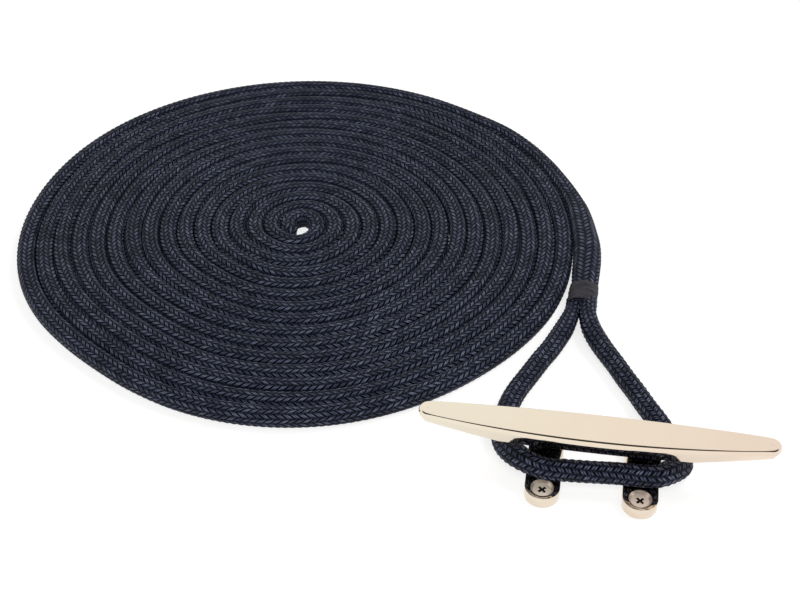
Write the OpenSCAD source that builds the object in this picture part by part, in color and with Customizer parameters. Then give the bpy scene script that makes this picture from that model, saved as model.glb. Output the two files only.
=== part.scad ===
// Double-braid dock line in a flat spiral coil, its spliced eye dropped over an open-base cleat.
// Origin: centre of the cleat's four screw holes, on the deck. +X runs along the cleat's bar,
// +Y from the cleat towards the coil, +Z up from the deck.

/* [Line] */
// Diameter of the line
line_d = 12; // [11:0.5:12.5]
// Wall of the braided cover, round the braided core
cover_t = 1.8; // [1.4:0.1:2.2]
// Turns in the flat coil
coil_turns = 16; // [12:1:16]
// Distance from one turn of the coil to the next
turn_pitch = 12.25; // [12:0.05:12.4]
// Radius of the hole left at the middle of the coil
coil_hole_r = 3.5; // [2:0.5:8]

/* [Throat sleeve] */
// Length of the sleeve over the throat of the eye splice
sleeve_l = 20; // [14:1:24]
// Wall of the sleeve
sleeve_t = 0.9; // [0.6:0.1:1]

/* [Cleat bar] */
// Length of the bar from horn tip to horn tip
bar_l = 203; // [180:1:230]
// Width of the bar at its middle
bar_w = 23; // [20:0.5:25]
// Width of each horn at its tip
tip_w = 11.4; // [9:0.2:14]
// Height of the bar's top above the deck, at its middle
bar_top = 36; // [34:0.5:42]
// Thickness of the bar at its middle
bar_t = 13; // [11:0.5:14]
// How much higher the horn tips stand than the middle
horn_rise = 2.3; // [1:0.1:5]

/* [Cleat legs] */
// Distance between the two legs, centre to centre
leg_spacing = 55; // [50:0.5:60]
// Width of each leg and foot along the bar
leg_w = 20; // [17:0.5:21]
// Thickness of each post, across the bar
post_t = 10; // [8:0.5:10.5]
// Length of each foot, across the bar
foot_l = 63; // [60:0.5:70]
// Thickness of each foot
foot_t = 7; // [6:0.5:8]

/* [Screws] */
// Distance between the front and rear screws
screw_spacing = 45; // [42:0.5:48]
// Diameter of the screw shank
screw_d = 5; // [4:0.1:5.5]
// Diameter of the screw head
head_d = 10.4; // [9:0.1:11]
// Diameter of the countersink at the top of the foot
sink_d = 13.2; // [12:0.1:14]
// Included angle of the countersink and of the screw head
sink_angle = 82; // [80:1:90]

/* [Hidden] */

line_r = line_d / 2;
core_r = line_r - cover_t - 0.1;
fit_gap = 0.1;
cord_sides = 10;
navy = [0.12, 0.14, 0.22];
core_white = [0.85, 0.85, 0.82];
steel = [0.86, 0.83, 0.76];

// The coil's disc. Its middle is where a circle best fits the outer turn of the spiral.
coil_mid = [-219, 203.5];
coil_r = turn_pitch * coil_turns;

// Last stretch of the line, from the coil to the throat: [x, y, width, height, lift off the
// deck]. It swells over the buried tail of the eye splice, and is flat where it is sleeved.
splice_route = [
    [-88, 349, 12, 12, 0], [-68, 330, 12, 12, 0], [-51.5, 308.5, 12, 12, 0],
    [-38.5, 286, 13, 12.5, 0], [-29, 266, 14.5, 13.5, 0], [-24, 252, 16, 15, 0],
    [-20.5, 237.5, 17.5, 16, 0], [-17.5, 222.5, 18.5, 16.5, 0], [-15, 208, 19.5, 16.5, 0],
    [-14, 193, 19.5, 16, 0], [-14, 179, 19, 14.5, 0.5], [-14, 165, 18, 13, 1],
    [-14.5, 154, 18, 13, 1], [-15, 143.5, 18, 13, 1]];
tail_start = 4;

// The eye, from the throat down the left leg, round in front of the posts and back up the
// right leg: [x, y, height of the line's underside, width, height]. It holds a double core.
eye_route = [
    [-20, 143.5, 0.5, 12, 12], [-20.5, 137.5, 0.5, 12, 12], [-22, 130, 0.3, 12.4, 12.4],
    [-24.5, 120, 0, 13.2, 12.8], [-28, 109, 0, 13.4, 13], [-32, 98, 0, 13.4, 13],
    [-36.5, 88, 0, 13.4, 13], [-40.5, 78, 0, 13.4, 13], [-44.5, 68, 0, 13.4, 13],
    [-48.5, 58, 0, 13.4, 13], [-51.5, 48, 0, 13.4, 13], [-53.5, 37, 0, 13.4, 13],
    [-54.5, 26, 0, 13.4, 13], [-54, 16, 0.5, 13.6, 13], [-51, 6, 2.5, 15, 13],
    [-45, -3.5, 5.5, 15.4, 13.2], [-37.5, -10.5, 7.3, 13.6, 13.6], [-27.5, -14.5, 7.5, 13, 13.6],
    [-14, -14, 7.5, 13, 13.4], [0, -13, 7.5, 13, 13.2], [14, -12, 7.5, 13, 13.4],
    [27.5, -12, 7.7, 13, 13.6], [36.5, -10.5, 7.5, 13.6, 13.6], [43.5, -4.5, 6.2, 14.8, 13.2],
    [48.5, 3, 3.4, 14.8, 13], [49.5, 11.5, 0.6, 14.4, 13], [47, 22, 0, 13, 13],
    [41.5, 32.5, 0, 13, 13], [36, 43, 0, 13, 13], [29.5, 54, 0, 13, 13],
    [23, 66, 0, 13, 13], [16, 78, 0, 13, 13], [9.5, 90, 0, 13, 13],
    [3, 101, 0, 13.4, 13], [-2.5, 111, 0.3, 13.6, 13], [-7, 121, 0.8, 13.2, 12.8],
    [-9.5, 130, 1.4, 12.4, 12.4], [-10.5, 137.5, 1.8, 12, 12], [-10.5, 143.5, 2, 12, 12]];
// The two legs of the eye are squeezed where they enter the sleeve.
throat_squeeze = [0.8, 0.87, 0.95];

// The cleat
tip_r = tip_w / 2;
tip_x = bar_l / 2 - tip_r;
side_sag = (bar_w - tip_w + 0.3) / 2;
side_r = (tip_x * tip_x + side_sag * side_sag) / (2 * side_sag);
top_r = bar_l * bar_l / 8 / horn_rise;
bar_under = bar_top - bar_t;
belly_r = 5;
horn_t = 7.3;
horn_start = 0.27 * bar_l;
weld_depth = 2;
foot_end = foot_l / 2 - leg_w / 2;
post_corner = 3;
fillet_r = 4;
sink_depth = (sink_d - screw_d - 0.4) / 2 / tan(sink_angle / 2);
hole_d = screw_d + 0.4;
head_h = (head_d - screw_d) / 2 / tan(sink_angle / 2);
head_top = foot_t - (sink_d - head_d) / 2 / tan(sink_angle / 2) - 0.05;
shank_foot = 0.3;

// ---- sweeping a round or oval section along a route ----

function unit(v) = v / norm(v);
function along(route, i) =
    unit(route[min(i + 1, len(route) - 1)] - route[max(i - 1, 0)]);
function side_of(direction) = unit(cross(direction, [0, 0, 1]));

// One ring of points about a place on the route, square to the route's direction there.
// Its size is half its width and half its height.
function ring(place, direction, size) = [
    for (k = [0 : cord_sides - 1])
        let (a = 360 * (k + 0.5) / cord_sides, side = side_of(direction))
            place + size[0] * cos(a) * side + size[1] * sin(a) * cross(side, direction)];

function rings(route, sizes) = [
    for (i = [0 : len(route) - 1]) each ring(route[i], along(route, i), sizes[i])];

function round_sizes(radii) = [for (r = radii) [r, r]];

// The faces between ring i and ring i + 1, which start at a point's number.
function wall_faces(start, count) = [
    for (i = [0 : count - 2], k = [0 : cord_sides - 1])
        let (next = (k + 1) % cord_sides, a = start + i * cord_sides)
            [a + k, a + cord_sides + k, a + cord_sides + next, a + next]];

function turned(faces) = [for (f = faces) [for (i = [len(f) - 1 : -1 : 0]) f[i]]];

// A solid round rod along a route.
module rod(route, radii) {
    last = (len(route) - 1) * cord_sides;
    polyhedron(
        points = rings(route, round_sizes(radii)),
        faces = concat(
            wall_faces(0, len(route)),
            [[for (k = [0 : cord_sides - 1]) k]],
            [[for (k = [cord_sides - 1 : -1 : 0]) last + k]]),
        convexity = 8);
}

// A hollow tube along a route, open at both ends.
module pipe(route, sizes, wall) {
    count = len(route);
    inner = count * cord_sides;
    last = (count - 1) * cord_sides;
    polyhedron(
        points = concat(
            rings(route, sizes),
            rings(route, [for (s = sizes) [s[0] - wall, s[1] - wall]])),
        faces = concat(
            wall_faces(0, count),
            turned(wall_faces(inner, count)),
            [for (k = [0 : cord_sides - 1]) let (next = (k + 1) % cord_sides)
                [k, next, inner + next, inner + k]],
            [for (k = [0 : cord_sides - 1]) let (next = (k + 1) % cord_sides)
                [last + next, last + k, inner + last + k, inner + last + next]]),
        convexity = 8);
}

// ---- the line ----

// Half widths and half heights, route and room inside the cover, along the spliced stretch
splice_size = [for (p = splice_route) [p[2] / 2 + line_r - 6, p[3] / 2 + line_r - 6]];
splice_path = [for (i = [0 : len(splice_route) - 1])
    let (p = splice_route[i]) [p[0], p[1], splice_size[i][1] + p[4]]];
splice_room = [for (s = splice_size) (s[0] - cover_t) * cos(180 / cord_sides) - fit_gap];
// The buried tail fills what the core leaves of that room, up to its own full thickness.
tail_r = [for (s = splice_room) max(0.25, min(2.9, 0.9 * (s - splice_room[0])))];
squeezed_core_r = [for (i = [0 : len(splice_room) - 1])
    min(core_r * 0.88, splice_room[i] - tail_r[i])];

function shifted(route, shifts) = [
    for (i = [0 : len(route) - 1]) route[i] + shifts[i] * side_of(along(route, i))];
function from_index(list, first) = [for (i = [first : len(list) - 1]) list[i]];

// Route of the eye, with its half widths and half heights
eye_last = len(eye_route) - 1;
function squeeze(i) = min(i, eye_last - i) < len(throat_squeeze)
    ? throat_squeeze[min(i, eye_last - i)] : 1;
eye_path = [for (p = eye_route) [p[0], p[1], p[2] + p[4] / 2 + line_r - 6]];
eye_size = [for (i = [0 : eye_last])
    squeeze(i) * [eye_route[i][3] / 2 + line_r - 6, eye_route[i][4] / 2 + line_r - 6]];
eye_core_r = [for (s = eye_size) (min(s) - cover_t) * cos(180 / cord_sides) - fit_gap];

// Everything wound in the flat coil, as the disc that its turns fill
module line_coil() {
    rim = coil_r - line_r;
    color(navy)
        translate([coil_mid[0], coil_mid[1], 0])
            rotate_extrude($fn = 180) {
                translate([coil_hole_r + line_r, 0]) square([rim - coil_hole_r - line_r, line_d]);
                for (x = [coil_hole_r + line_r, rim])
                    translate([x, line_r]) circle(r = line_r, $fn = 36);
            }
}

// Braided cover of the stretch from the coil to the throat
module spliced_cover() {
    color(navy) pipe(splice_path, splice_size, cover_t);
}

// Braided core inside that stretch, pushed aside by the buried tail
module spliced_core() {
    color(core_white)
        rod(shifted(splice_path, [for (r = tail_r) r - 0.25]),
            [for (r = squeezed_core_r) r - fit_gap]);
}

// Tapered tail of the line, buried beside the core
module buried_tail() {
    color(core_white)
        rod(from_index(shifted(splice_path, -squeezed_core_r), tail_start),
            [for (r = from_index(tail_r, tail_start)) r - fit_gap]);
}

// Braided cover of the eye
module eye_cover() {
    color(navy) pipe(eye_path, eye_size, cover_t);
}

// Braided core of the eye
module eye_core() {
    color(core_white) rod(eye_path, eye_core_r);
}

// Shrunk sleeve over the throat, where both legs of the eye leave the splice
module throat_sleeve() {
    last = len(splice_path) - 1;
    mouth = splice_path[last];
    back = splice_path[last - 2];
    turn = atan2(back[1] - mouth[1], back[0] - mouth[0]);
    bore_w = 2 * (splice_size[last][0] + fit_gap);
    bore_h = 2 * (splice_size[last][1] + fit_gap);
    color([0.13, 0.11, 0.11])
        translate(mouth)
            rotate([0, 90, turn])
                linear_extrude(sleeve_l)
                    difference() {
                        oval(bore_h + 2 * sleeve_t, bore_w + 2 * sleeve_t);
                        oval(bore_h, bore_w);
                    }
}

module oval(x, y) {
    scale([x, y]) circle(d = 1, $fn = 72);
}

// ---- the cleat ----

// Plan of the bar: boat-shaped, with round tips
module bar_plan() {
    intersection() {
        translate([0, side_r - bar_w / 2]) circle(r = side_r, $fn = 720);
        translate([0, bar_w / 2 - side_r]) circle(r = side_r, $fn = 720);
        square([2 * tip_x, bar_w + 2], center = true);
    }
    for (x = [-tip_x, tip_x]) translate([x, 0]) circle(r = tip_r, $fn = 48);
}

// Section across the bar: flat top and rounded belly
module bar_section() {
    high = bar_top + horn_rise + 1;
    belly_x = bar_w / 2 - belly_r;
    translate([-bar_w / 2, bar_under + belly_r]) square([bar_w, high - bar_under - belly_r]);
    translate([-belly_x, bar_under]) square([2 * belly_x, belly_r + 1]);
    for (x = [-belly_x, belly_x])
        translate([x, bar_under + belly_r]) circle(r = belly_r, $fn = 48);
}

// Side view of the bar: hollowed top, and horns that thin towards their tips
module bar_side() {
    tip_top = bar_top + horn_rise + 1;
    half = bar_l / 2;
    horn_under = bar_top + horn_rise - horn_t;
    difference() {
        polygon([[-half, horn_under], [-horn_start, bar_under], [horn_start, bar_under],
            [half, horn_under], [half, tip_top], [-half, tip_top]]);
        translate([0, bar_top + top_r]) circle(r = top_r, $fn = 1440);
    }
}

// Outline of a post, as it stands on its foot
module post_plan() {
    x = leg_w / 2 - post_corner;
    y = post_t / 2 - post_corner;
    square([leg_w, 2 * y], center = true);
    square([2 * x, post_t], center = true);
    for (sx = [-x, x], sy = [-y, y]) translate([sx, sy]) circle(r = post_corner, $fn = 32);
}

// The bar, let down over the tops of both posts
module cleat_bar() {
    high = bar_top + horn_rise + 2;
    color(steel)
        difference() {
            intersection() {
                linear_extrude(high) bar_plan();
                rotate([90, 0, 90]) linear_extrude(bar_l + 2, center = true) bar_section();
                rotate([90, 0, 0]) linear_extrude(bar_w + 2, center = true) bar_side();
            }
            for (x = [-leg_spacing / 2, leg_spacing / 2])
                translate([x, 0, 0]) linear_extrude(bar_under + weld_depth) post_plan();
        }
}

// Hole for one screw, countersunk from the top of the foot
module screw_hole() {
    translate([0, 0, -1]) cylinder(h = foot_t + 2, d = hole_d, $fn = 48);
    translate([0, 0, foot_t - sink_depth])
        cylinder(h = sink_depth, d1 = hole_d, d2 = sink_d, $fn = 48);
}

// Hollow blend between a post's face and the top of its foot
module post_fillet() {
    difference() {
        translate([-leg_w / 2 + post_corner, post_t / 2 - 1, foot_t - 1])
            cube([leg_w - 2 * post_corner, fillet_r + 1, fillet_r + 1]);
        translate([0, post_t / 2 + fillet_r, foot_t + fillet_r])
            rotate([0, 90, 0]) cylinder(h = leg_w + 2, r = fillet_r, center = true, $fn = 48);
    }
}

// One leg: a post on a long foot with round ends and a screw hole at each end
module leg() {
    color(steel)
        difference() {
            union() {
                linear_extrude(foot_t) {
                    square([leg_w, 2 * foot_end], center = true);
                    for (y = [-foot_end, foot_end])
                        translate([0, y]) circle(d = leg_w, $fn = 72);
                }
                linear_extrude(bar_under + weld_depth) post_plan();
                post_fillet();
                mirror([0, 1, 0]) post_fillet();
            }
            for (y = [-screw_spacing / 2, screw_spacing / 2]) translate([0, y, 0]) screw_hole();
        }
}

module cleat_leg_left() {
    translate([-leg_spacing / 2, 0, 0]) leg();
}

module cleat_leg_right() {
    translate([leg_spacing / 2, 0, 0]) leg();
}

// A countersunk screw with a cross recess, cut off level with the underside of the foot
module screw() {
    recess_l = 0.5 * head_d;
    recess_w = 1.5;
    recess_depth = 1.5;
    difference() {
        rotate_extrude($fn = 48)
            polygon([[0, shank_foot], [screw_d / 2, shank_foot],
                [screw_d / 2, head_top - head_h], [head_d / 2, head_top], [0, head_top]]);
        for (a = [45, 135])
            translate([0, 0, head_top - recess_depth / 2 + 0.5])
                rotate([0, 0, a]) cube([recess_l, recess_w, recess_depth + 1], center = true);
    }
}

// The four screws that hold the cleat down
module cleat_screws() {
    color(steel)
        for (x = [-leg_spacing / 2, leg_spacing / 2], y = [-screw_spacing / 2, screw_spacing / 2])
            translate([x, y, 0]) screw();
}

line_coil();
spliced_cover();
spliced_core();
buried_tail();
eye_cover();
eye_core();
throat_sleeve();
cleat_bar();
cleat_leg_left();
cleat_leg_right();
cleat_screws();
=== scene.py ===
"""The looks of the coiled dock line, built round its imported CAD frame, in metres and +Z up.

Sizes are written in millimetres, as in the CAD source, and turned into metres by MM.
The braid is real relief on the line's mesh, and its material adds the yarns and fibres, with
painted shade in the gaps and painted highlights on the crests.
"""

import math

import bmesh
import bpy
import numpy as np
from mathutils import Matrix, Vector


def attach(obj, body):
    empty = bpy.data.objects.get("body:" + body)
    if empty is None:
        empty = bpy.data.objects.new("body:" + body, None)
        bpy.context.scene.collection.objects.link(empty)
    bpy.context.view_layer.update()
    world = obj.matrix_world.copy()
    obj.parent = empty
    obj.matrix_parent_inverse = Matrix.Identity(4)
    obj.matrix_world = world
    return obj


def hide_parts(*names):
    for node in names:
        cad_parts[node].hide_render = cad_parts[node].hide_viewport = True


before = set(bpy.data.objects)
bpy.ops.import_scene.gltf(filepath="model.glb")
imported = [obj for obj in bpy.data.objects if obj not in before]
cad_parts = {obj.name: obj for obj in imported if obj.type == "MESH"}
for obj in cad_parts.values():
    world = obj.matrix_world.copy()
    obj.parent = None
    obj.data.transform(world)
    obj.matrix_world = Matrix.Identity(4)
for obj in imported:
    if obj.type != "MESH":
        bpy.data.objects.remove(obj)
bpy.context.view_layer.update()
MM = 0.001
TAU = 2 * math.pi

# ---------------------------------------------------------------- the line's sizes and routes

LINE_R = 6.0
COIL_HALF_W = 6.4  # the turns of the coil are pressed together, and are a little square
COIL_SQUARENESS = 2.8
BRAID_COLUMNS = 12  # columns of picks round the line, turned alternately left and right
PICK_L = 4.5  # from one pick to the next, along a column
SPLICED_PICK_L = 4.0
SPLICE_SWELL = 3.0  # growth of the half width by which the picks have their spliced length
EYE_PICK_L = 4.2
BRAID_DEPTH = 0.95
LINE_SLOPE = 1.0  # how many picks along a strand goes as it crosses one column
EYE_SLOPE = 0.5  # 0.5 or 1, so that the strands pass one another halfway
# The braid's surface: each strand has a crown, and lies high and low in turn as it passes over
# and under the other set of strands.
STRAND_CROWN = 0.55
STRAND_SWING = 0.3
SWING_STEEPNESS = 1.4
STRAND_TOP = STRAND_CROWN + STRAND_SWING
STRAND_SHIFT = 0.25  # in picks, how far each set is moved along the line, one each way
LINE_DETAIL = (4, 4)  # points to a column and rings to a pick
EYE_DETAIL = (5, 6)
ROUTE_STEPS = 24  # steps of the smooth curve between two points of a route
FLOOR_CLEARANCE = 0.02  # the braid is pressed flat this far above the deck
COVER_START = 0.8  # the line's cover starts this far inside the sleeve

# The coil is a spiral. Its angles are counted in the view's axes, to which the cleat is
# turned by VIEW_TURN, clockwise and from where the line first crosses to the left.
SPIRAL_MID = (-216.0, 201.0)
SPIRAL_START_R = 7.4
TURN_PITCH = 12.25
VIEW_TURN = math.radians(9)
LAST_TURN = 15.36
STEPS_A_TURN = 36
# Where a turn lies nearer the middle than a true spiral, or further out where the distance is
# below zero: the turn, how much of it, and how far
STRAYS = [
    (14.08, 0.12, 1.2), (10.0, 0.2, -0.1),
    (13.72, 0.1, 0.2), (12.3, 0.2, -0.2), (10.55, 0.15, 0.15), (7.9, 0.2, 0.05),
]
# Where the whole coil bulges out, or in where the distance is below zero: how far at its rim,
# at which angle, and how wide, in degrees
OUTLINE_LOBES = [
    (1.4, 275, 45), (-2.2, 200, 45), (-2.6, 46, 30), (2.2, 333, 16), (-6.2, 229, 20),
    (3.0, 280, 24), (-1.4, 165, 20),
]
# The same for the turns round the hole, with the number of turns over which it fades
HEART_LOBES = [(2.6, 72, 42, 2), (-0.8, 0, 40, 3), (1.3, 265, 40, 2)]
COIL_R = 200  # where an outline lobe has its full distance
# The line's tapered inner end, tucked against the first turn: x, y from the middle and radius
INNER_END = [(-7.5, -3.0, 6.0), (-8.0, -6.0, 5.3), (-8.4, -9.0, 3.7)]

# From the coil to the throat: x, y, width, height, lift off the deck
SPLICE_ROUTE = [
    (-88, 349, 12, 12, 0), (-68, 330, 12, 12, 0), (-51.5, 308.5, 12, 12, 0),
    (-38.5, 286, 13, 12.5, 0), (-29, 266, 14.5, 13.5, 0), (-24, 252, 16, 15, 0),
    (-20.5, 237.5, 17.5, 16, 0), (-17.5, 222.5, 18.5, 16.5, 0), (-15, 208, 19.5, 16.5, 0),
    (-14, 193, 19.5, 16, 0), (-14, 179, 19, 14.5, 0.5), (-14, 165, 18, 13, 1),
    (-14.5, 154, 18, 13, 1), (-15, 143.5, 18, 13, 1),
]

# The eye, from the throat round the front of the posts and back: x, y, height of its
# underside, width, height
EYE_ROUTE = [
    (-20, 143.5, 0.5, 12, 12), (-20.5, 137.5, 0.5, 12, 12), (-22, 130, 0.3, 12.4, 12.4),
    (-24.5, 120, 0, 13.2, 12.8), (-28, 109, 0, 13.4, 13), (-32, 98, 0, 13.4, 13),
    (-36.5, 88, 0, 13.4, 13), (-40.5, 78, 0, 13.4, 13), (-44.5, 68, 0, 13.4, 13),
    (-48.5, 58, 0, 13.4, 13), (-51.5, 48, 0, 13.4, 13), (-53.5, 37, 0, 13.4, 13),
    (-54.5, 26, 0, 13.4, 13), (-54, 16, 0.5, 13.6, 13), (-51, 6, 2.5, 15, 13),
    (-45, -3.5, 5.5, 15.4, 13.2), (-37.5, -10.5, 7.3, 13.6, 13.6), (-27.5, -14.5, 7.5, 13, 13.6),
    (-14, -14, 7.5, 13, 13.4), (0, -13, 7.5, 13, 13.2), (14, -12, 7.5, 13, 13.4),
    (27.5, -12, 7.7, 13, 13.6), (36.5, -10.5, 7.5, 13.6, 13.6), (43.5, -4.5, 6.2, 14.8, 13.2),
    (48.5, 3, 3.4, 14.8, 13), (49.5, 11.5, 0.6, 14.4, 13), (47, 22, 0, 13, 13),
    (41.5, 32.5, 0, 13, 13), (36, 43, 0, 13, 13), (29.5, 54, 0, 13, 13),
    (23, 66, 0, 13, 13), (16, 78, 0, 13, 13), (9.5, 90, 0, 13, 13),
    (3, 101, 0, 13.4, 13), (-2.5, 111, 0.3, 13.6, 13), (-7, 121, 0.8, 13.2, 12.8),
    (-9.5, 130, 1.4, 12.4, 12.4), (-10.5, 137.5, 1.8, 12, 12), (-10.5, 143.5, 2, 12, 12),
]
# How thick each leg of the eye is as it leaves the throat, and how far it goes on inside
LEFT_SQUEEZE = (0.88, 0.9, 0.95)
RIGHT_SQUEEZE = (0.97, 0.97, 0.99)
LEG_INSIDE = 5.0

# ---------------------------------------------------------------- the cleat's and sleeve's sizes

BAR_HALF = 101.5
BAR_MID_HALF_W = 11.5
TIP_R = 5.7
TIP_X = BAR_HALF - TIP_R
SIDE_SAG = BAR_MID_HALF_W - TIP_R
SIDE_R = (TIP_X**2 + SIDE_SAG**2) / (2 * SIDE_SAG)
BAR_TOP = 36.0
BAR_UNDER = 23.0
STRIP_H = 2.7  # the upright strip under the bar's top edge
BELLY_LEAN = 3.2  # how far in the belly leans before it turns under
BELLY_SHARE = 0.88  # how much of its height it has come down by then
BELLY_TURN = math.radians(30)
HORN_RISE = 2.3
HORN_START = 55.2
HORN_UNDER_SLOPE = 0.173

# The screws: their places, and the heights that their cross recesses lie between, which find the
# recess faces that get painted shade
SCREW_X = 27.5
SCREW_Y = 22.5
HEAD_TOP = 5.34
RECESS_FLOOR = 3.84
RECESS_REACH = 3.2  # from a screw's axis to the ends of its cross recess
RECESS_MARGIN = 0.1  # both of those heights are taken this much lower, to find its faces
SINK_FROM_Y = 14.0  # the countersinks lie further out along the feet than this
# How far the edges of the castings and of the screws are rounded
CAST_EDGE_R = 0.3
SCREW_EDGE_R = 0.08

SLEEVE_L = 20.0  # the shrunk sleeve over the throat

# ---------------------------------------------------------------- camera

CAMERA_PLACE = (-20.8, -578.2, 585.0)
CAMERA_TILT = 51.2
LENS_MM = 63
SENSOR_MM = 36


def make_camera():
    data = bpy.data.cameras.new("camera")
    data.lens = LENS_MM
    data.sensor_width = SENSOR_MM
    data.clip_start = 0.01
    data.clip_end = 50
    camera = new_object("camera", data)
    camera.location = [c * MM for c in CAMERA_PLACE]
    camera.rotation_euler = (math.radians(CAMERA_TILT), 0, VIEW_TURN)
    bpy.context.scene.camera = camera


# ---------------------------------------------------------------- meshes


def new_object(name, data):
    made = bpy.data.objects.new(name, data)
    bpy.context.scene.collection.objects.link(made)
    return made


def declared(piece, slot, *materials):
    """A piece with its materials, on the one body that a part without joints has. The slot is not
    used.
    """
    for material in materials:
        piece.data.materials.append(material)
    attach(piece, "root")
    return piece


def grid_mesh(name, rings, uv=None, caps=(True, True)):
    """A smooth tube through rings of points, closed round, with a fan over each end.

    rings is an array [ring, point round, xyz] in millimetres; uv is an array
    [ring, point round + 1, 2], whose last column closes the seam.
    """
    count, around = rings.shape[:2]
    ends = [rings[0].mean(0), rings[-1].mean(0)]
    points = np.concatenate([rings.reshape(-1, 3), ends]) * MM
    i, k = np.meshgrid(np.arange(count - 1), np.arange(around), indexing="ij")
    after = (k + 1) % around
    quads = np.stack(
        [i * around + k, i * around + after, (i + 1) * around + after, (i + 1) * around + k], -1
    ).reshape(-1, 4)
    k = np.arange(around)
    after = (k + 1) % around
    first = np.stack([np.full(around, count * around), after, k], -1)
    last = np.stack([np.full(around, count * around + 1), k, after], -1) + [
        0, (count - 1) * around, (count - 1) * around]
    fans = [f for f, wanted in zip((first, last), caps) if wanted]
    loops = np.concatenate([quads.ravel()] + [f.ravel() for f in fans])
    sizes = np.concatenate([np.full(len(quads), 4)] + [np.full(len(f), 3) for f in fans])
    mesh = bpy.data.meshes.new(name)
    mesh.vertices.add(len(points))
    mesh.vertices.foreach_set("co", points.ravel().astype(np.float32))
    mesh.loops.add(len(loops))
    mesh.loops.foreach_set("vertex_index", loops.astype(np.int32))
    mesh.polygons.add(len(sizes))
    starts = np.concatenate([[0], np.cumsum(sizes)[:-1]])
    mesh.polygons.foreach_set("loop_start", starts.astype(np.int32))
    mesh.polygons.foreach_set("use_smooth", np.ones(len(sizes), bool))
    if uv is not None:
        corners = np.stack([uv[:-1, :-1], uv[:-1, 1:], uv[1:, 1:], uv[1:, :-1]], 2)
        layers = [corners.reshape(-1, 2)]
        for ring, wanted in zip((uv[0], uv[-1]), caps):
            if wanted:
                middle = np.broadcast_to(ring.mean(0), (around, 2))
                layers.append(np.stack([middle, ring[:-1], ring[1:]], 1).reshape(-1, 2))
        layer = mesh.uv_layers.new(name="braid")
        layer.data.foreach_set("uv", np.concatenate(layers).ravel().astype(np.float32))
    mesh.update(calc_edges=True)
    mesh.validate()
    return mesh


def smooth_route(points, per_span):
    """A Catmull-Rom curve through the points, with any further columns carried along."""
    p = np.array(points, float)
    p = np.concatenate([[2 * p[0] - p[1]], p, [2 * p[-1] - p[-2]]])
    t = np.linspace(0, 1, per_span, endpoint=False)[:, None]
    spans = [
        0.5 * (2 * b + (c - a) * t + (2 * a - 5 * b + 4 * c - d) * t**2
               + (3 * b - a - 3 * c + d) * t**3)
        for a, b, c, d in zip(p[:-3], p[1:-2], p[2:-1], p[3:])
    ]
    return np.concatenate(spans + [p[-2:-1]])


def length_along(line):
    steps = np.linalg.norm(np.diff(line[:, :3], axis=0), axis=1)
    return np.concatenate([[0], np.cumsum(steps)])


def resampled(line, measure, at):
    return np.stack([np.interp(at, measure, column) for column in line.T], 1)


# ---------------------------------------------------------------- the braid


def braid_height(column, pick, slope):
    """Height of the braid's surface, from 0 in its gaps to 1 on its picks.

    column counts the columns of picks round the line, and pick the picks along it. One set of
    strands runs up to the right and lies on top in every other column, and the other set
    runs up to the left and lies on top in the columns between.
    """
    level = STRAND_SWING * np.clip(SWING_STEEPNESS * np.sin(math.pi * column), -1, 1)

    def ridge(across):
        off = across - np.round(across)
        return STRAND_CROWN * np.cos(math.pi * off)

    rising = level + ridge(pick - slope * column + STRAND_SHIFT)
    falling = ridge(pick + slope * column - STRAND_SHIFT) - level
    return np.clip(np.maximum(rising, falling) / STRAND_TOP, 0, 1)


def frames_along(line):
    """Directions across the line: level and to its right, and upwards."""
    tangent = np.gradient(line[:, :3], axis=0)
    tangent /= np.linalg.norm(tangent, axis=1)[:, None]
    right = np.cross(tangent, [0, 0, 1.0])
    right /= np.linalg.norm(right, axis=1)[:, None]
    return right, np.cross(right, tangent)


def braided_mesh(name, line, slope, detail, twist):
    """The braided cover along a line, and its middle line.

    The line's columns are x, y, z, half width, half height, pick length and squareness, which
    is 2 for a round or oval section.
    """
    per_column, per_pick = detail
    along = length_along(line)
    pick_steps = np.diff(along) / (0.5 * (line[1:, 5] + line[:-1, 5]))
    pick_of = np.concatenate([[0], np.cumsum(pick_steps)])
    picks = np.arange(0, pick_of[-1], 1 / per_pick)
    rings = resampled(np.column_stack([line, along]), pick_of, picks)
    right, up = frames_along(rings)
    around = BRAID_COLUMNS * per_column
    column = np.arange(around + 1) / per_column
    lower = BRAID_DEPTH * (1 - braid_height(column[None, :], picks[:, None], slope))
    angle = TAU * column[None, :] / BRAID_COLUMNS + twist(rings[:, 7])[:, None]
    c, s = np.cos(angle), np.sin(angle)
    power = rings[:, 6, None]
    reach = (np.abs(c) ** power + np.abs(s) ** power) ** (-1 / power)
    out = ((rings[:, 3, None] * reach - lower) * c)[..., None] * right[:, None]
    out = out + ((rings[:, 4, None] * reach - lower) * s)[..., None] * up[:, None]
    points = rings[:, None, :3] + out
    points[..., 2] = np.maximum(points[..., 2], FLOOR_CLEARANCE)
    uv = np.stack(np.broadcast_arrays(column[None, :], picks[:, None]), -1)
    return grid_mesh(name, points[:, :-1], uv), rings[:, :3]


def line_twist(along):
    """How far the braid has turned about the line's own axis, in radians."""
    return (0.5 * np.sin(along / 270 + 1) + 0.35 * np.sin(along / 97 + 2)
            + 0.9 * np.sin(along / 1300))


def eye_twist(along):
    return 0.4 * np.sin(along / 60)


def spiral_points():
    """The coil's centreline, from its outer end to its inner end, with its half width."""
    turn = np.arange(LAST_TURN, 0, -1 / STEPS_A_TURN)
    angle = math.pi - TAU * turn
    radius = SPIRAL_START_R + TURN_PITCH * turn
    radius += coil_wander(turn, angle, radius)
    x, y = radius * np.cos(angle), radius * np.sin(angle)
    points = np.column_stack([x, y, np.full(len(turn), COIL_HALF_W)])
    points = np.concatenate([points, INNER_END])
    x, y = points[:, 0].copy(), points[:, 1].copy()
    c, s = math.cos(VIEW_TURN), math.sin(VIEW_TURN)
    points[:, 0] = SPIRAL_MID[0] + c * x - s * y
    points[:, 1] = SPIRAL_MID[1] + s * x + c * y
    return points


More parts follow.
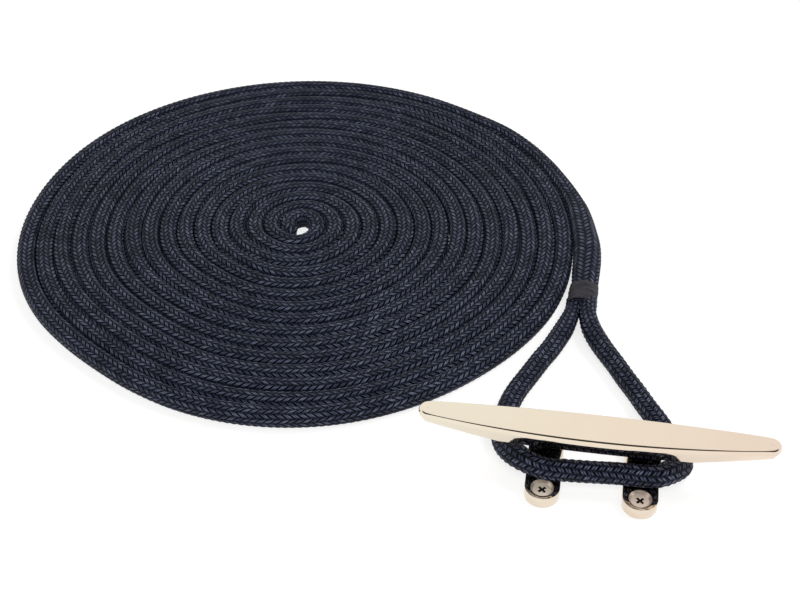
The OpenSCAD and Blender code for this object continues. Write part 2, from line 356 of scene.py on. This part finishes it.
def coil_wander(turn, angle, radius):
    """How far a hand-laid coil strays from a true spiral, in millimetres."""
    def lobe(centre, width):
        off = (np.degrees(angle) - centre + 180) % 360 - 180
        return np.exp(-((off / width) ** 2))

    outline = sum(far * lobe(centre, width) for far, centre, width in OUTLINE_LOBES)
    heart = sum(far * lobe(centre, width) * np.exp(-turn / fade)
                for far, centre, width, fade in HEART_LOBES)
    between = 0.12 * np.sin(TAU * 0.37 * turn + 1) + 0.08 * np.sin(TAU * 1.43 * turn)
    for at, width, inward in STRAYS:
        between -= inward * np.exp(-(((turn - at) / width) ** 2))
    return radius / COIL_R * outline + heart + between


def dock_line_route():
    stretch = [(x, y, high / 2 + lift, wide / 2, high / 2)
               for x, y, wide, high, lift in SPLICE_ROUTE[::-1]]
    coil = [(x, y, min(half, LINE_R), half, min(half, LINE_R)) for x, y, half in spiral_points()]
    line = smooth_route(stretch + coil, ROUTE_STEPS)
    thick = np.clip((line[:, 3] - LINE_R) / SPLICE_SWELL, 0, 1)
    pick = PICK_L + (SPLICED_PICK_L - PICK_L) * thick
    square = COIL_SQUARENESS + (2 - COIL_SQUARENESS) * np.clip(2 * thick, 0, 1)
    return np.column_stack([line, pick, square])


def eye_route():
    last = len(EYE_ROUTE) - 1
    points = []
    for i, (x, y, underside, wide, high) in enumerate(EYE_ROUTE):
        ends = LEFT_SQUEEZE if 2 * i < last else RIGHT_SQUEEZE
        end = min(i, last - i)
        squeeze = ends[end] if end < len(ends) else 1
        points.append((x, y, underside + high / 2, squeeze * wide / 2, squeeze * high / 2))
    for place, at in ((0, 0), (len(points), -1)):
        x, y, *rest = points[at]
        points.insert(place, (x, y + LEG_INSIDE, *rest))
    line = smooth_route(points, ROUTE_STEPS)
    count = len(line)
    return np.column_stack([line, np.full(count, EYE_PICK_L), np.full(count, 2.0)])


# ---------------------------------------------------------------- material nodes


class Graph:
    """A short way to write a material's or the world's nodes."""

    def __init__(self, owner):
        owner.use_nodes = True
        self.tree = owner.node_tree
        self.nodes = self.tree.nodes
        self.nodes.clear()

    def add(self, kind, **settings):
        node = self.nodes.new(kind)
        for name, value in settings.items():
            setattr(node, name, value)
        return node

    def put(self, socket, value):
        if isinstance(value, bpy.types.NodeSocket):
            self.tree.links.new(value, socket)
        else:
            socket.default_value = value

    def maths(self, operation, *values, clamp=False):
        node = self.add("ShaderNodeMath", operation=operation, use_clamp=clamp)
        for socket, value in zip(node.inputs, values):
            self.put(socket, value)
        return node.outputs[0]

    def ramp(self, value, stops):
        node = self.add("ShaderNodeValToRGB")
        elements = node.color_ramp.elements
        while len(elements) < len(stops):
            elements.new(0.5)
        for element, (place, colour) in zip(elements, stops):
            element.position = place
            element.color = (*colour, 1)
        self.put(node.inputs[0], value)
        return node.outputs["Color"]

    def mix(self, kind, factor, a, b):
        node = self.add("ShaderNodeMix", data_type="RGBA", blend_type=kind)
        self.put(node.inputs[0], factor)
        self.put(node.inputs[6], a)
        self.put(node.inputs[7], b)
        return node.outputs[2]

    def noise(self, vector, scale, detail=2, roughness=0.5):
        node = self.add("ShaderNodeTexNoise")
        self.put(node.inputs["Vector"], vector)
        node.inputs["Scale"].default_value = scale
        node.inputs["Detail"].default_value = detail
        node.inputs["Roughness"].default_value = roughness
        return node.outputs["Fac"]

    def object_place(self):
        return self.add("ShaderNodeTexCoord").outputs["Object"]

    def shader(self, **values):
        node = self.add("ShaderNodeBsdfPrincipled")
        for name, value in values.items():
            self.put(node.inputs[name.replace("_", " ")], value)
        output = self.add("ShaderNodeOutputMaterial")
        self.tree.links.new(node.outputs[0], output.inputs["Surface"])
        return node

    def bump(self, height, distance, strength=1.0):
        node = self.add("ShaderNodeBump")
        node.inputs["Strength"].default_value = strength
        node.inputs["Distance"].default_value = distance
        self.put(node.inputs["Height"], height)
        return node.outputs["Normal"]


def strand(graph, across, along, split, seed):
    """One set of the braid's strands: its ridges, their two yarns, fibres and own shades."""
    m = graph.maths
    number = m("ROUND", across)
    off = m("SUBTRACT", across, number)
    ridge = m("COSINE", m("MULTIPLY", off, math.pi))
    # The strand's edges and the line between its two yarns go dark: in the colour this is painted
    # shade, with painted highlights on the yarns, and in the bump it is relief.
    flat = m("SUBTRACT", 1, m("POWER", m("ABSOLUTE", m("MULTIPLY", off, 2)), 3))
    yarns = m("ABSOLUTE", m("SINE", m("MULTIPLY", off, TAU)))
    yarns = m("ADD", m("MULTIPLY", yarns, split), 1 - split)
    # A number of its own for each place where a strand shows, from its strand and its column
    pick = m("ADD", m("MULTIPLY", number, 7.31), m("MULTIPLY", m("FLOOR", along), 3.17))
    place = graph.add("ShaderNodeCombineXYZ")
    graph.put(place.inputs[0], m("MULTIPLY", off, 14))
    graph.put(place.inputs[1], m("MULTIPLY", along, 1.2))
    graph.put(place.inputs[2], m("ADD", pick, seed))
    fibres = graph.noise(place.outputs[0], 1.0, 2, 0.6)
    white = graph.add("ShaderNodeTexWhiteNoise", noise_dimensions="1D")
    graph.put(white.inputs["W"], m("ADD", pick, seed))
    return ridge, m("MULTIPLY", flat, yarns), fibres, white.outputs["Value"]


def line_material(name, slope, split):
    """Navy braid: two crossing sets of strands, each of two yarns, over near-black gaps. The gaps'
    near-black is painted shade, and the palest yarns carry painted highlights.
    """
    material = bpy.data.materials.new(name)
    graph = Graph(material)
    m = graph.maths
    uv = graph.add("ShaderNodeUVMap", uv_map="braid")
    parts = graph.add("ShaderNodeSeparateXYZ")
    graph.put(parts.inputs[0], uv.outputs[0])
    column, pick = parts.outputs[0], parts.outputs[1]
    wave = m("SINE", m("MULTIPLY", column, math.pi))
    steep = m("MULTIPLY", wave, SWING_STEEPNESS)
    level = m("MULTIPLY", m("MAXIMUM", m("MINIMUM", steep, 1), -1), STRAND_SWING)
    climb = m("MULTIPLY", column, slope)
    rising = m("ADD", m("SUBTRACT", pick, climb), STRAND_SHIFT)
    falling = m("SUBTRACT", m("ADD", pick, climb), STRAND_SHIFT)
    a_ridge, a_yarns, a_fibres, a_shade = strand(graph, rising, column, split, 1.7)
    b_ridge, b_yarns, b_fibres, b_shade = strand(graph, falling, column, split, 91.3)
    a_height = m("ADD", m("MULTIPLY", a_ridge, STRAND_CROWN), level)
    b_height = m("SUBTRACT", m("MULTIPLY", b_ridge, STRAND_CROWN), level)
    a_on_top = m("GREATER_THAN", a_height, b_height)
    b_on_top = m("SUBTRACT", 1, a_on_top)

    def top(a, b):
        return m("ADD", m("MULTIPLY", a, a_on_top), m("MULTIPLY", b, b_on_top))

    height = m("DIVIDE", m("MAXIMUM", a_height, b_height), STRAND_TOP, clamp=True)
    yarns = top(a_yarns, b_yarns)
    fibres = top(a_fibres, b_fibres)
    shade = top(a_shade, b_shade)
    # Painted shade: the colour darkens towards each column's edge, where a strand dives under the
    # other set.
    ends = m("ADD", m("MULTIPLY", m("POWER", m("ABSOLUTE", wave), 0.6), 0.6), 0.4)
    relief = m("ADD", height, m("ADD", m("MULTIPLY", yarns, 0.45), m("MULTIPLY", fibres, 0.15)))
    cloudy = graph.noise(graph.object_place(), 30, 3, 0.6)
    # The ramp's input: yarn lines with painted shade and highlights, shade painted where strands
    # pass under, and random tone per pick, fibres and dust.
    painted_light_and_tone = m("MULTIPLY", m("MULTIPLY", yarns, ends), 0.8)
    for value, amount in ((shade, 0.15), (fibres, 0.42), (cloudy, 0.12)):
        painted_light_and_tone = m("ADD", painted_light_and_tone, m("MULTIPLY", m("SUBTRACT", value, 0.5), amount))
    # Near-black painted shade at the bottom of the ramp, the strands' navy in the middle and a
    # pale painted highlight at the top.
    colour = graph.ramp(painted_light_and_tone, [
        (0.25, (0.0006, 0.0008, 0.0015)),
        (0.47, (0.0076, 0.0096, 0.019)),
        (0.68, (0.042, 0.0485, 0.0815)),
        (0.90, (0.182, 0.199, 0.2735)),
    ])
    roughness = m("SUBTRACT", 0.75, m("MULTIPLY", height, 0.28))
    graph.shader(Base_Color=colour, Roughness=roughness, Normal=graph.bump(relief, 0.0009),
                 Specular_IOR_Level=0.12)
    return material


def sleeve_material():
    """Dark shrunk sleeve: matte, with a faint weave showing through it."""
    material = bpy.data.materials.new("dark_sleeve")
    graph = Graph(material)
    place = graph.object_place()
    fine = graph.noise(place, 1400, 2, 0.6)
    broad = graph.noise(place, 130, 3, 0.5)
    mixed = graph.maths("ADD", graph.maths("MULTIPLY", fine, 0.7),
                        graph.maths("MULTIPLY", broad, 0.3))
    colour = graph.ramp(mixed, [(0.35, (0.006, 0.006, 0.008)), (0.65, (0.040, 0.037, 0.045))])
    height = graph.maths("ADD", graph.maths("MULTIPLY", fine, 0.5), broad)
    roughness = graph.maths("ADD", graph.maths("MULTIPLY", fine, 0.2), 0.55)
    graph.shader(Base_Color=colour, Roughness=roughness, Normal=graph.bump(height, 0.0004),
                 Specular_IOR_Level=0.2)
    return material


def steel_material(name, colour, roughness, metallic=1.0):
    """Stainless steel, with fine polishing marks, faint stains and a tint that deepens to +X,
    which is a painted change in the reflection from end to end.
    """
    material = bpy.data.materials.new(name)
    graph = Graph(material)
    place = graph.object_place()
    stretch = graph.add("ShaderNodeMapping")
    stretch.inputs["Scale"].default_value = (40, 900, 900)
    graph.put(stretch.inputs["Vector"], place)
    marks = graph.noise(stretch.outputs[0], 1.0, 3, 0.6)
    stains = graph.noise(place, 22, 4, 0.6)
    value = graph.maths("ADD", graph.maths("MULTIPLY", marks, 0.05),
                        graph.maths("MULTIPLY", stains, 0.05))
    rough = graph.maths("ADD", value, roughness - 0.05)
    pinker = (colour[0], 0.965 * colour[1], 0.975 * colour[2])
    stained = graph.ramp(stains, [(0.35, colour), (0.65, pinker)])
    parts = graph.add("ShaderNodeSeparateXYZ")
    graph.put(parts.inputs[0], place)
    # Painted reflection: the colour turns pinker and darker towards +X.
    share = graph.maths("MULTIPLY_ADD", parts.outputs[0], 0.5 / (BAR_HALF * MM), 0.5)
    ends = graph.ramp(share, [(0.1, (1.0, 1.0, 1.0)), (0.5, (1.0, 0.955, 0.955)),
                              (0.9, (0.965, 0.89, 0.90))])
    tint = graph.mix("MULTIPLY", 1.0, stained, ends)
    graph.shader(Base_Color=tint, Metallic=metallic, Roughness=rough,
                 Normal=graph.bump(marks, 0.00002))
    return material


# ---------------------------------------------------------------- the cleat

def bar_outline():
    """Half of the bar's plan, from its left tip to its right: points, outward normals and
    the distance from each to the bar's spine."""
    lean = math.asin(TIP_X / SIDE_R)
    nose = np.linspace(0, math.pi / 2 - lean, 22)[:-1]
    side = np.linspace(-lean, lean, 90)
    left = np.column_stack([-TIP_X - TIP_R * np.cos(nose), TIP_R * np.sin(nose)])
    left_n = np.column_stack([-np.cos(nose), np.sin(nose)])
    normal = np.column_stack([np.sin(side), np.cos(side)])
    mid_y = BAR_MID_HALF_W - SIDE_R
    arc = np.column_stack([SIDE_R * normal[:, 0], mid_y + SIDE_R * normal[:, 1]])
    right, right_n = left[::-1] * [-1, 1], left_n[::-1] * [-1, 1]
    points = np.concatenate([left, arc, right])
    normals = np.concatenate([left_n, normal, right_n])
    reach = np.concatenate([np.full(len(left), TIP_R), arc[:, 1] / normal[:, 1],
                            np.full(len(right), TIP_R)])
    return points, normals, reach


def bar_profile(x, reach):
    """The bar's section at each place x: how far in from the outline, and how high.

    It runs over the flat top, round the top edge, down the side strip and round the belly.
    """
    out = np.abs(x)
    top = BAR_TOP + HORN_RISE * (out / BAR_HALF) ** 2
    nose = np.clip((out - 90) / 11, 0, 1) ** 2
    edge = 1.1 - 0.6 * np.clip(out / 80, 0, 1) ** 2 + 1.2 * nose
    under = BAR_UNDER + HORN_UNDER_SLOPE * np.clip(out - HORN_START, 0, None)
    strip = top - edge - STRIP_H + nose
    rows = [(edge + f * (reach - edge), top) for f in (1, 0.6, 0.25)]
    for a in np.linspace(0, math.pi / 2, 6):
        rows.append((edge * (1 - math.sin(a)), top - edge * (1 - math.cos(a))))
    rows += [(0 * out, 0.5 * (top - edge + strip)), (0 * out, strip + 0.1)]
    lean = BELLY_LEAN * reach / BAR_MID_HALF_W
    for part in (0.01, 0.3, 0.6, 0.97, 1):
        rows.append((part * lean, strip - BELLY_SHARE * part * (strip - under)))
    first = math.sin(BELLY_TURN)
    for b in np.linspace(BELLY_TURN, math.pi / 2, 14)[1:]:
        inset = lean + (reach - lean) * (1 - math.cos(b) / math.cos(BELLY_TURN))
        down = (1 - BELLY_SHARE) * (math.sin(b) - first) / (1 - first)
        rows.append((inset, strip - (BELLY_SHARE + down) * (strip - under)))
    return rows


def bar_mesh():
    points, normals, reach = bar_outline()
    rows = []
    for inset, height in bar_profile(points[:, 0], reach):
        flat = points - normals * inset[:, None]
        front = np.column_stack([flat, height])
        back = front[::-1][1:-1] * [1, -1, 1]
        rows.append(np.concatenate([front, back]))
    rings = np.array(rows)
    mesh = grid_mesh("cleat_bar_polished", rings, caps=(False, False))
    edit = bmesh.new()
    edit.from_mesh(mesh)
    bmesh.ops.remove_doubles(edit, verts=edit.verts, dist=0.01 * MM)
    bmesh.ops.holes_fill(edit, edges=edit.edges, sides=0)
    bmesh.ops.recalc_face_normals(edit, faces=edit.faces)
    edit.to_mesh(mesh)
    edit.free()
    mesh.shade_smooth()
    return mesh


def painted_recess_shade():
    """Painted shade: a near-black colour for the inside of a cross recess, where shadow falls."""
    material = bpy.data.materials.new("recess_shade")
    graph = Graph(material)
    graph.shader(Base_Color=(0.012, 0.010, 0.009, 1), Roughness=0.7, Specular_IOR_Level=0.2)
    return material


def rounded_copy(node, name, edge_mm):
    """A CAD node's shape with its sharp edges rounded, as a casting's polished edges are."""
    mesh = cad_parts[node].data.copy()
    mesh.name = name
    mesh.materials.clear()
    edit = bmesh.new()
    edit.from_mesh(mesh)
    bmesh.ops.remove_doubles(edit, verts=edit.verts, dist=0.002 * MM)
    bmesh.ops.dissolve_limit(edit, angle_limit=math.radians(0.5), verts=edit.verts,
                             edges=edit.edges)
    edit.to_mesh(mesh)
    edit.free()
    mesh.shade_smooth()
    piece = new_object(name, mesh)
    bevel = piece.modifiers.new("edges", "BEVEL")
    bevel.width = edge_mm * MM
    bevel.segments = 3
    bevel.limit_method = "ANGLE"
    bevel.angle_limit = math.radians(28)
    bevel.harden_normals = True
    return piece


def in_countersink(face):
    slanted = 0.2 < face.normal.z < 0.95
    return slanted and abs(face.center.y) > SINK_FROM_Y * MM


# The faces inside a cross recess, which are given painted shade
def in_recess(face):
    place = face.center / MM
    off_axis = math.hypot(abs(place.x) - SCREW_X, abs(place.y) - SCREW_Y)
    return (off_axis < RECESS_REACH
            and RECESS_FLOOR - RECESS_MARGIN < place.z < HEAD_TOP - RECESS_MARGIN)


def paint_faces(piece, wanted):
    """Give the wanted faces of a piece its second material."""
    for face in piece.data.polygons:
        if wanted(face):
            face.material_index = 1


# ---------------------------------------------------------------- the sleeve


def sleeve_mesh(line):
    """A thin shrunk tube round the line's first stretch: its skin outside, lip and bore."""
    along = length_along(line)
    outer = [(0.5, 0.1), (0.05, 0.25), (0.0, 0.5), (0.25, 0.75), (0.9, 0.8), (1.8, 0.6)]
    outer += [(s, 0.6 + 0.12 * math.sin(1.3 * s)) for s in np.linspace(3, SLEEVE_L - 4, 12)]
    outer += [(SLEEVE_L - 2.5, 0.55), (SLEEVE_L - 1, 0.45), (SLEEVE_L - 0.2, 0.3), (SLEEVE_L, 0.1)]
    inner = [(s, 0.0) for s in np.linspace(SLEEVE_L - 1, 1.0, 8)]
    middle = resampled(line, along, np.linspace(0, SLEEVE_L, 5))
    right, up = frames_along(middle)
    right, up = right[2], up[2]
    angle = np.arange(96) * TAU / 96
    c, s = np.cos(angle)[:, None], np.sin(angle)[:, None]
    rows = []
    for at, proud in outer + inner:
        place = resampled(line, along, np.array([at]))[0]
        folds = 0.14 * np.sin(3 * angle + at) + 0.10 * np.sin(7 * angle - 1.7 * at)
        skin = (proud + (folds if proud > 0.4 else 0)) * np.ones(len(angle))
        ragged = 0.5 * np.sin(2 * angle + 1) + 0.3 * np.sin(5 * angle)
        shift = ragged * (at / SLEEVE_L)
        back = np.cross(up, right)
        rows.append(place[:3] + (place[3] + skin)[:, None] * c * right
                    + (place[4] + skin)[:, None] * s * up + shift[:, None] * back)
    rows.append(rows[0])
    return grid_mesh("throat_sleeve_shrunk", np.array(rows), caps=(False, False))


# ---------------------------------------------------------------- floor, lights and world


FLOOR_R = 6  # metres
CEILING_TILT = math.radians(67)  # how high up the dark ceiling's middle lies


def make_floor():
    material = bpy.data.materials.new("pale_floor")
    graph = Graph(material)
    graph.shader(Base_Color=(0.3, 0.3, 0.3, 1), Roughness=0.9,
                 Emission_Color=(1, 1, 1, 1), Emission_Strength=0.72)
    edit = bmesh.new()
    bmesh.ops.create_circle(edit, cap_ends=True, segments=96, radius=FLOOR_R)
    mesh = bpy.data.meshes.new("floor")
    edit.to_mesh(mesh)
    edit.free()
    floor = new_object("floor", mesh)
    mesh.materials.append(material)


def area_light(name, place, target, size, power, colour):
    """A softbox, which steel and other glossy surfaces don't mirror."""
    data = bpy.data.lights.new(name, "AREA")
    data.shape = "RECTANGLE"
    data.size, data.size_y = size
    data.energy = power
    data.color = colour
    light = new_object(name, data)
    light.location = place
    aim = Vector(target) - Vector(place)
    light.rotation_euler = aim.to_track_quat("-Z", "Y").to_euler()
    light.visible_glossy = False


def make_world():
    """A pale surround with a dark ceiling, which hangs over the near side."""
    world = bpy.data.worlds.new("studio")
    bpy.context.scene.world = world
    graph = Graph(world)
    place = graph.add("ShaderNodeTexCoord").outputs["Generated"]
    towards = graph.add("ShaderNodeVectorMath", operation="DOT_PRODUCT")
    level = math.cos(CEILING_TILT)
    aim = (math.sin(VIEW_TURN) * level, -math.cos(VIEW_TURN) * level, math.sin(CEILING_TILT))
    graph.put(towards.inputs[0], place)
    towards.inputs[1].default_value = aim
    shade = graph.ramp(towards.outputs["Value"], [
        (0.53, (1.0, 0.99, 0.975)), (0.66, (0.05, 0.048, 0.045))])
    background = graph.add("ShaderNodeBackground")
    graph.put(background.inputs["Color"], shade)
    background.inputs["Strength"].default_value = 1.08
    output = graph.add("ShaderNodeOutputWorld")
    graph.tree.links.new(background.outputs[0], output.inputs["Surface"])


# ---------------------------------------------------------------- the build

make_camera()

navy = line_material("navy_braid", LINE_SLOPE, 0.35)
eye_navy = line_material("navy_eye_braid", EYE_SLOPE, 0.5)
whole_line = dock_line_route()
route = whole_line[length_along(whole_line) > COVER_START]
cover, path = braided_mesh("dock_line_braid", route, LINE_SLOPE, LINE_DETAIL, line_twist)
dock_line = declared(new_object("dock_line", cover), "line_cover", navy)
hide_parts("line_coil", "spliced_cover", "spliced_core", "buried_tail")

eye_cover, eye_path = braided_mesh("eye_braid", eye_route(), EYE_SLOPE, EYE_DETAIL, eye_twist)
eye = declared(new_object("eye", eye_cover), "line_cover", eye_navy)
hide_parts("eye_cover", "eye_core")

sleeve = declared(new_object("sleeve", sleeve_mesh(whole_line)), "sleeve", sleeve_material())
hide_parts("throat_sleeve")

steel = steel_material("polished_steel", (0.785, 0.725, 0.588), 0.07)
bar = declared(new_object("cleat_bar_polished", bar_mesh()), "cleat_steel", steel)
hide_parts("cleat_bar")
machined = steel_material("machined_steel", (0.66, 0.59, 0.49), 0.3, 0.7)
for side in ("left", "right"):
    leg = rounded_copy("cleat_leg_" + side, "cleat_leg_polished_" + side, CAST_EDGE_R)
    declared(leg, "cleat_steel", steel, machined)
    paint_faces(leg, in_countersink)
    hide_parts("cleat_leg_" + side)
screw_steel = steel_material("screw_steel", (0.85, 0.78, 0.66), 0.35, 0.35)
screws = rounded_copy("cleat_screws", "cleat_screws_turned", SCREW_EDGE_R)
# The screws' cross recesses get a near-black painted shade.
declared(screws, "screw_steel", screw_steel, painted_recess_shade())
paint_faces(screws, in_recess)
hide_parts("cleat_screws")

make_floor()
make_world()
area_light("key", (0.9, 0.5, 1.7), (-0.1, 0.1, 0), (0.9, 0.6), 16, (1, 0.99, 0.97))
area_light("fill", (0.1, -1.3, 1.6), (-0.1, 0.1, 0), (1.6, 1.0), 34, (1, 0.99, 0.97))
bpy.context.scene.view_settings.view_transform = "Standard"
